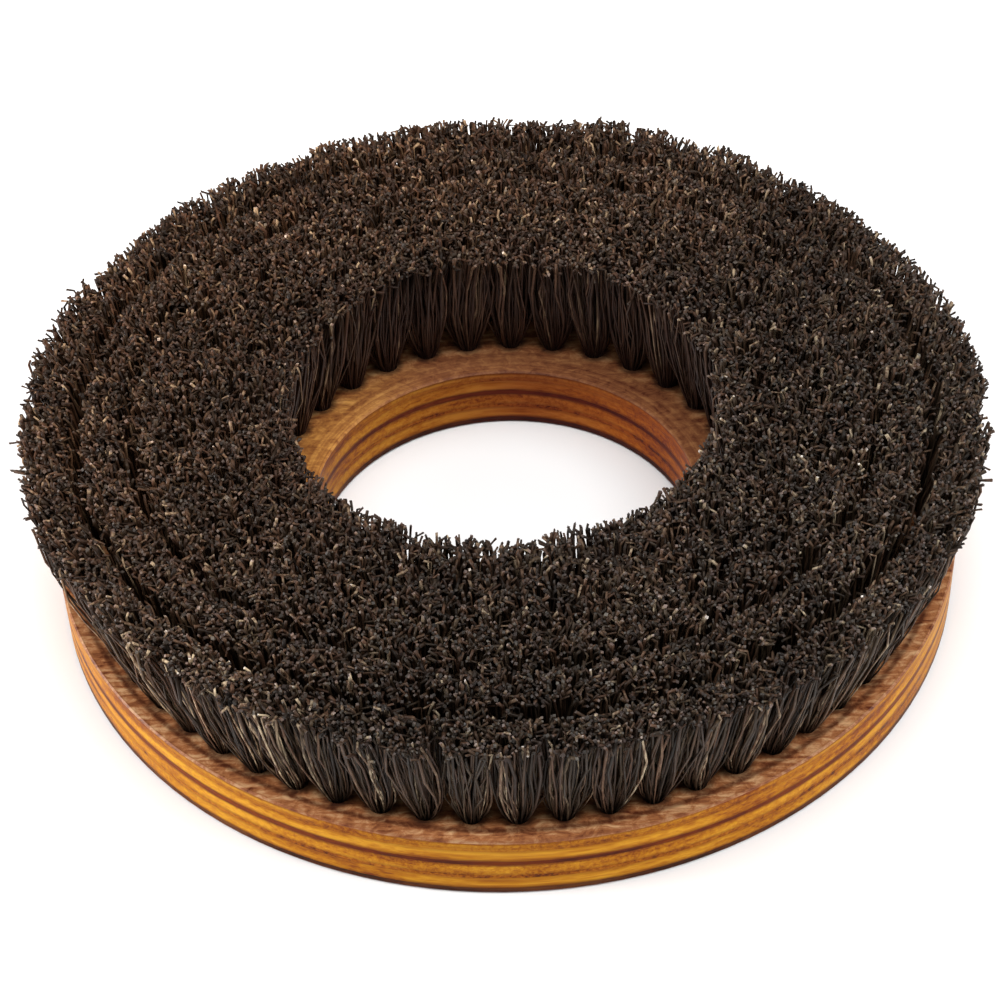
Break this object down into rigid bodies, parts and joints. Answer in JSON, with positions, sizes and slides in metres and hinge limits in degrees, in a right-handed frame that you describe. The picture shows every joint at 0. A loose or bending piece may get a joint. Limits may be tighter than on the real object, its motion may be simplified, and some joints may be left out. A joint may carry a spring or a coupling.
{
  "type": "rotary scrubbing brush",
  "caption": "Rotary disc scrubbing brush: a laminated plywood ring with a large centre hole and rows of stiff dark fibre tufts, stapled into drilled holes and trimmed level.",
  "frame": {"origin": "centre of the disc's back face, in the plane of that face", "axes": "+Z along the disc's axis, from the back face towards the bristle tips; +X through the first tuft of every row"},
  "size_m": [0.3158, 0.3158, 0.0718],
  "materials": {
    "face_veneer": "lacquered reddish-brown veneer",
    "pale_wood": "clear amber lacquer on the sawn edge",
    "dark_wood": "clear amber lacquer on the sawn edge",
    "fibre": "stiff dark brown plant fibre, cut ends slightly glossy",
    "staple_wire": "drawn wire"
  },
  "bodies": {
    "root": {"back_face_ply": "face_veneer", "core_ply_1": "pale_wood", "cross_ply_1": "dark_wood", "core_ply_2": "pale_wood", "cross_ply_2": "dark_wood", "core_ply_3": "pale_wood", "cross_ply_3": "dark_wood", "core_ply_4": "pale_wood", "bristle_face_ply": "face_veneer", "tuft_row_1": "fibre", "tuft_row_2": "fibre", "tuft_row_3": "fibre", "tuft_row_4": "fibre", "tuft_row_5": "fibre", "staple_row_1": "staple_wire", "staple_row_2": "staple_wire", "staple_row_3": "staple_wire", "staple_row_4": "staple_wire", "staple_row_5": "staple_wire"}
  },
  "joints": []
}
